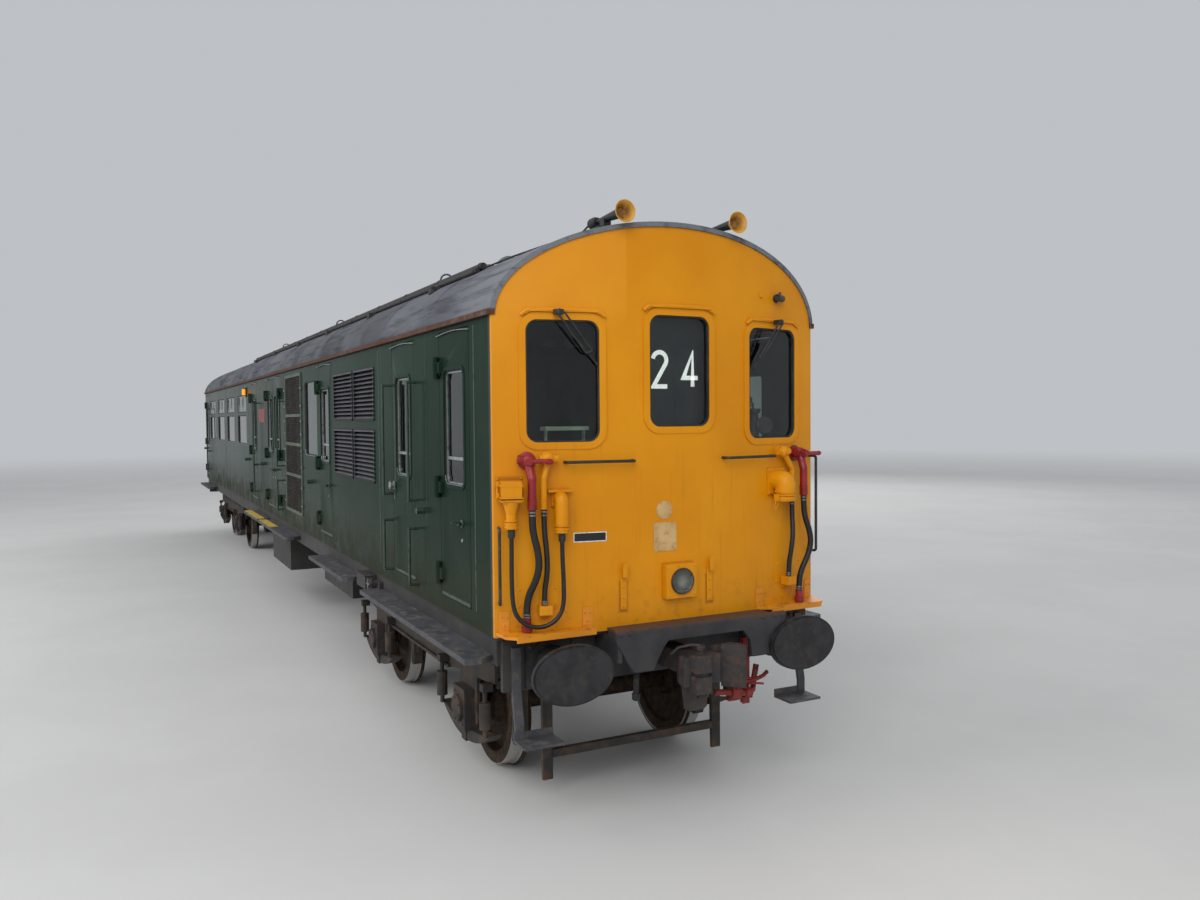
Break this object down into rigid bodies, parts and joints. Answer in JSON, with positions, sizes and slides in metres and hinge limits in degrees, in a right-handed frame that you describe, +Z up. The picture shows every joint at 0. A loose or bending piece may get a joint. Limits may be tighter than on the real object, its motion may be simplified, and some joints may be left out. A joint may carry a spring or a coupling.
{
  "type": "diesel-electric multiple unit driving motor car",
  "caption": "Narrow-bodied diesel-electric passenger train motor car with a bowed driving cab, side doors, engine room, saloon, two bogies and a rear gangway.",
  "frame": {"origin": "on the plane of the wheel flange tips, under the middle of the overall length and width", "axes": "+X towards the driving cab, +Y to the left of travel, +Z up; the rail head is at z 0.028 m"},
  "size_m": [20.398, 2.84, 4.0329],
  "materials": {
    "side_walls_paint": "satin, weathered",
    "cab_front_paint": "satin, weathered",
    "roof_paint": "matt, sooty",
    "underframe_steel": "matt",
    "floor_covering": "worn",
    "rear_end_paint": "satin",
    "bellows_fabric": "coated cloth",
    "gangway_plate_steel": "greased",
    "partition_panel": "varnished and painted",
    "window_glass": "clear",
    "cab_window_glass": "clear",
    "engine_paint": "oily",
    "louvre_paint": "matt",
    "grille_paint": "matt",
    "seat_frame_wood": "varnished",
    "seat_moquette": "pile",
    "desk_paint": "satin",
    "beam_plate_paint": "rust-edged",
    "buffer_steel": "greasy",
    "coupler_iron": "rusty",
    "step_paint": "worn",
    "footboard_wood": "dirty",
    "lamp_box_paint": "satin",
    "cab_rail_paint": "satin",
    "side_rail_steel": "worn",
    "horn_metal": "matt",
    "wiper_metal": "satin",
    "socket_paint": "satin",
    "cock_paint": "satin",
    "jumper_rubber": "dull",
    "brake_hose_rubber_left": "dull",
    "air_hose_rubber_left": "dull",
    "brake_hose_rubber_right": "dull",
    "air_hose_rubber_right": "dull",
    "roof_fitting_paint": "matt",
    "underfloor_paint": "matt",
    "bogie_steel_front": "grimy",
    "running_gear_steel_front": "grimy",
    "bogie_steel_rear": "grimy",
    "running_gear_steel_rear": "grimy",
    "motor_paint": "grimy",
    "wheel_steel_front_leading": "worn tread",
    "wheel_steel_front_trailing": "worn tread",
    "wheel_steel_rear_leading": "worn tread",
    "wheel_steel_rear_trailing": "worn tread",
    "gangway_door_wood": "varnished",
    "cab_door_right_paint": "satin, weathered",
    "cab_door_left_paint": "satin, weathered",
    "guard_door_right_paint": "satin, weathered",
    "guard_door_left_paint": "satin, weathered",
    "engine_door_right_paint": "satin, weathered",
    "engine_door_left_paint": "satin, weathered",
    "luggage_door_front_right_paint": "satin, weathered",
    "luggage_door_front_left_paint": "satin, weathered",
    "luggage_door_rear_right_paint": "satin, weathered",
    "luggage_door_rear_left_paint": "satin, weathered",
    "passenger_door_right_paint": "satin, weathered",
    "passenger_door_left_paint": "satin, weathered",
    "end_door_right_paint": "satin, weathered",
    "end_door_left_paint": "satin, weathered"
  },
  "bodies": {
    "carbody": {"side_walls": "side_walls_paint", "cab_front": "cab_front_paint", "cab_glass": "cab_window_glass", "roof": "roof_paint", "underframe": "underframe_steel", "floor": "floor_covering", "rear_end": "rear_end_paint", "gangway_bellows": "bellows_fabric", "gangway_plate": "gangway_plate_steel", "partitions": "partition_panel", "side_glass": "window_glass", "engine_block": "engine_paint", "louvres": "louvre_paint", "radiator_grilles": "grille_paint", "seat_frames": "seat_frame_wood", "seat_cushions": "seat_moquette", "cab_desk": "desk_paint", "beam_plate": "beam_plate_paint", "buffers": "buffer_steel", "couplers": "coupler_iron", "cab_steps": "step_paint", "footboards": "footboard_wood", "lamp_fittings": "lamp_box_paint", "cab_handrails": "cab_rail_paint", "side_fittings": "side_rail_steel", "horns": "horn_metal", "wipers": "wiper_metal", "jumper_gear": "socket_paint", "brake_cocks": "cock_paint", "jumper_cable": "jumper_rubber", "brake_hose_left": "brake_hose_rubber_left", "air_hose_left": "air_hose_rubber_left", "brake_hose_right": "brake_hose_rubber_right", "air_hose_right": "air_hose_rubber_right", "roof_fittings": "roof_fitting_paint", "underfloor_gear": "underfloor_paint"},
    "front_bogie": {"bogie_frame_front": "bogie_steel_front", "running_gear_front": "running_gear_steel_front"},
    "rear_bogie": {"bogie_frame_rear": "bogie_steel_rear", "running_gear_rear": "running_gear_steel_rear", "traction_motors": "motor_paint"},
    "front_leading_wheelset": {"wheelset_front_leading": "wheel_steel_front_leading"},
    "front_trailing_wheelset": {"wheelset_front_trailing": "wheel_steel_front_trailing"},
    "rear_leading_wheelset": {"wheelset_rear_leading": "wheel_steel_rear_leading"},
    "rear_trailing_wheelset": {"wheelset_rear_trailing": "wheel_steel_rear_trailing"},
    "gangway_door": {"rear_door": "gangway_door_wood"},
    "cab_door_right": {"cab_door_right": "cab_door_right_paint"},
    "cab_door_left": {"cab_door_left": "cab_door_left_paint"},
    "guard_door_right": {"guard_door_right": "guard_door_right_paint"},
    "guard_door_left": {"guard_door_left": "guard_door_left_paint"},
    "engine_door_right": {"engine_door_right": "engine_door_right_paint"},
    "engine_door_left": {"engine_door_left": "engine_door_left_paint"},
    "luggage_door_front_right": {"luggage_door_front_right": "luggage_door_front_right_paint"},
    "luggage_door_front_left": {"luggage_door_front_left": "luggage_door_front_left_paint"},
    "luggage_door_rear_right": {"luggage_door_rear_right": "luggage_door_rear_right_paint"},
    "luggage_door_rear_left": {"luggage_door_rear_left": "luggage_door_rear_left_paint"},
    "passenger_door_right": {"passenger_door_right": "passenger_door_right_paint"},
    "passenger_door_left": {"passenger_door_left": "passenger_door_left_paint"},
    "end_door_right": {"end_door_right": "end_door_right_paint"},
    "end_door_left": {"end_door_left": "end_door_left_paint"}
  },
  "joints": [
    {"name": "front_bogie_swivel", "type": "hinge", "parent": "carbody", "child": "front_bogie", "pos_m": [7.087, 0, 0.933], "axis": [0, 0, 1], "range_deg": [-4, 4]},
    {"name": "rear_bogie_swivel", "type": "hinge", "parent": "carbody", "child": "rear_bogie", "pos_m": [-7.087, 0, 0.933], "axis": [0, 0, 1], "range_deg": [-4, 4]},
    {"name": "front_leading_axle", "type": "hinge", "parent": "front_bogie", "child": "front_leading_wheelset", "pos_m": [8.3825, 0, 0.485], "axis": [0, 1, 0], "continuous": true},
    {"name": "front_trailing_axle", "type": "hinge", "parent": "front_bogie", "child": "front_trailing_wheelset", "pos_m": [5.7915, 0, 0.485], "axis": [0, 1, 0], "continuous": true},
    {"name": "rear_leading_axle", "type": "hinge", "parent": "rear_bogie", "child": "rear_leading_wheelset", "pos_m": [-5.7535, 0, 0.536], "axis": [0, 1, 0], "continuous": true},
    {"name": "rear_trailing_axle", "type": "hinge", "parent": "rear_bogie", "child": "rear_trailing_wheelset", "pos_m": [-8.4205, 0, 0.536], "axis": [0, 1, 0], "continuous": true},
    {"name": "cab_door_right_hinge", "type": "hinge", "parent": "carbody", "child": "cab_door_right", "pos_m": [8.586, -1.278, 2.228], "axis": [0, 0, -1], "range_deg": [0, 165]},
    {"name": "cab_door_left_hinge", "type": "hinge", "parent": "carbody", "child": "cab_door_left", "pos_m": [8.586, 1.278, 2.228], "axis": [0, 0, 1], "range_deg": [0, 165]},
    {"name": "guard_door_right_hinge", "type": "hinge", "parent": "carbody", "child": "guard_door_right", "pos_m": [7.934, -1.174, 2.228], "axis": [0, 0, -1], "range_deg": [0, 90]},
    {"name": "guard_door_left_hinge", "type": "hinge", "parent": "carbody", "child": "guard_door_left", "pos_m": [7.934, 1.174, 2.228], "axis": [0, 0, 1], "range_deg": [0, 90]},
    {"name": "engine_door_right_hinge", "type": "hinge", "parent": "carbody", "child": "engine_door_right", "pos_m": [4.156, -1.278, 2.228], "axis": [0, 0, -1], "range_deg": [0, 165]},
    {"name": "engine_door_left_hinge", "type": "hinge", "parent": "carbody", "child": "engine_door_left", "pos_m": [4.156, 1.278, 2.228], "axis": [0, 0, 1], "range_deg": [0, 165]},
    {"name": "luggage_door_front_right_hinge", "type": "hinge", "parent": "carbody", "child": "luggage_door_front_right", "pos_m": [1.454, -1.278, 2.228], "axis": [0, 0, 1], "range_deg": [0, 110]},
    {"name": "luggage_door_front_left_hinge", "type": "hinge", "parent": "carbody", "child": "luggage_door_front_left", "pos_m": [1.454, 1.278, 2.228], "axis": [0, 0, -1], "range_deg": [0, 110]},
    {"name": "luggage_door_rear_right_hinge", "type": "hinge", "parent": "carbody", "child": "luggage_door_rear_right", "pos_m": [0.206, -1.278, 2.228], "axis": [0, 0, -1], "range_deg": [0, 165]},
    {"name": "luggage_door_rear_left_hinge", "type": "hinge", "parent": "carbody", "child": "luggage_door_rear_left", "pos_m": [0.206, 1.278, 2.228], "axis": [0, 0, 1], "range_deg": [0, 165]},
    {"name": "passenger_door_right_hinge", "type": "hinge", "parent": "carbody", "child": "passenger_door_right", "pos_m": [-1.534, -1.278, 2.228], "axis": [0, 0, -1], "range_deg": [0, 165]},
    {"name": "passenger_door_left_hinge", "type": "hinge", "parent": "carbody", "child": "passenger_door_left", "pos_m": [-1.534, 1.278, 2.228], "axis": [0, 0, 1], "range_deg": [0, 165]},
    {"name": "end_door_right_hinge", "type": "hinge", "parent": "carbody", "child": "end_door_right", "pos_m": [-9.564, -1.278, 2.228], "axis": [0, 0, -1], "range_deg": [0, 165]},
    {"name": "end_door_left_hinge", "type": "hinge", "parent": "carbody", "child": "end_door_left", "pos_m": [-9.564, 1.278, 2.228], "axis": [0, 0, 1], "range_deg": [0, 165]},
    {"name": "gangway_door_hinge", "type": "hinge", "parent": "carbody", "child": "gangway_door", "pos_m": [-9.753, 0.324, 2.228], "axis": [0, 0, 1], "range_deg": [0, 90]}
  ]
}
